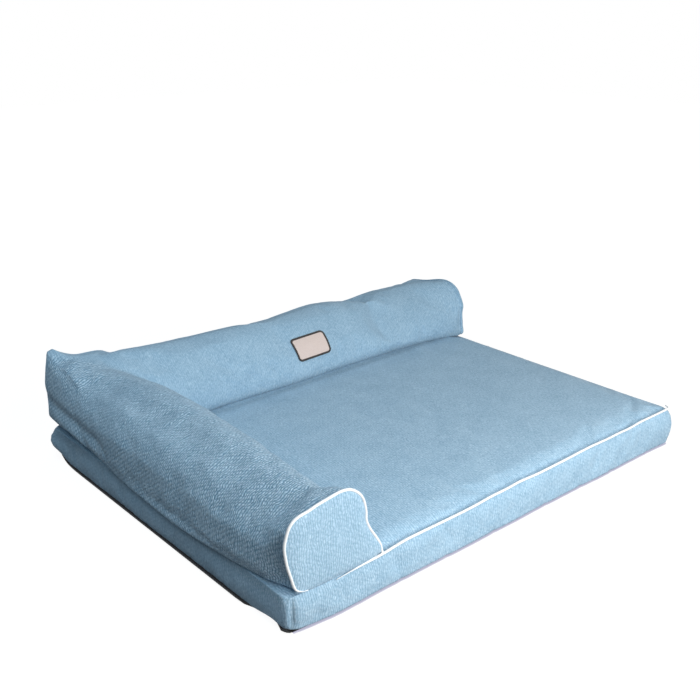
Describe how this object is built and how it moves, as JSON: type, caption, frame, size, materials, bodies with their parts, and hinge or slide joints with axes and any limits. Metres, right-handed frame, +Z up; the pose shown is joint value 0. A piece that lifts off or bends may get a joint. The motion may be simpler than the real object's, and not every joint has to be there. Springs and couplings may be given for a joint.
{
  "type": "dog bed",
  "caption": "Rectangular foam dog bed with a boxed mattress and stuffed bolsters along its left side and back, with piping, a patch and a rear zipper.",
  "frame": {"origin": "middle of the bed's footprint, on the floor", "axes": "+X to the right along the open front edge, +Y to the back bolster, +Z up"},
  "size_m": [0.9303, 0.7277, 0.2085],
  "materials": {
    "cover_cloth": "heavy matte chenille weave",
    "piping_cloth": "matte woven binding",
    "piping_cord": "matte twisted cotton",
    "nonslip_cloth": "matte non-slip cloth",
    "patch_weave": "fine satin weave",
    "patch_thread": "matte border stitching",
    "support_foam": "matte open-cell foam",
    "memory_foam": "matte slow foam",
    "fibre_fill": "matte loose fibre",
    "zipper_tape": "matte herringbone tape",
    "zipper_coil": "satin nylon",
    "zipper_metal": "satin plated"
  },
  "bodies": {
    "bed": {"support_foam": "support_foam", "memory_foam": "memory_foam", "mattress_top_panel": "cover_cloth", "front_boxing": "cover_cloth", "right_boxing": "cover_cloth", "left_boxing": "cover_cloth", "back_boxing_upper": "cover_cloth", "back_boxing_lower": "cover_cloth", "nonslip_bottom_panel": "nonslip_cloth", "front_edge_piping": "piping_cloth", "front_edge_piping_cord": "piping_cord", "arm_cover": "cover_cloth", "arm_end_panel": "cover_cloth", "arm_insert": "fibre_fill", "back_cover": "cover_cloth", "back_end_panel": "cover_cloth", "back_insert": "fibre_fill", "arm_end_piping": "piping_cloth", "arm_end_piping_cord": "piping_cord", "patch": "patch_weave", "patch_border": "patch_thread", "zipper_tape_upper": "zipper_tape", "zipper_tape_lower": "zipper_tape", "zipper_coil_upper": "zipper_coil", "zipper_coil_lower": "zipper_coil", "zipper_top_stops": "zipper_metal", "zipper_bottom_stop": "zipper_metal"},
    "slider": {"zipper_slider": "zipper_metal"},
    "pull": {"zipper_pull": "zipper_metal"}
  },
  "joints": [
    {"name": "zipper_slide", "type": "slide", "parent": "bed", "child": "slider", "axis": [-1, 0, 0], "range_m": [0, 0.738], "deforming": ["zipper_coil_upper", "zipper_coil_lower"]},
    {"name": "pull_swing", "type": "hinge", "parent": "slider", "child": "pull", "pos_m": [0.3715, 0.36166, 0.0335], "axis": [0, 0, -1], "range_deg": [0, 175]}
  ]
}
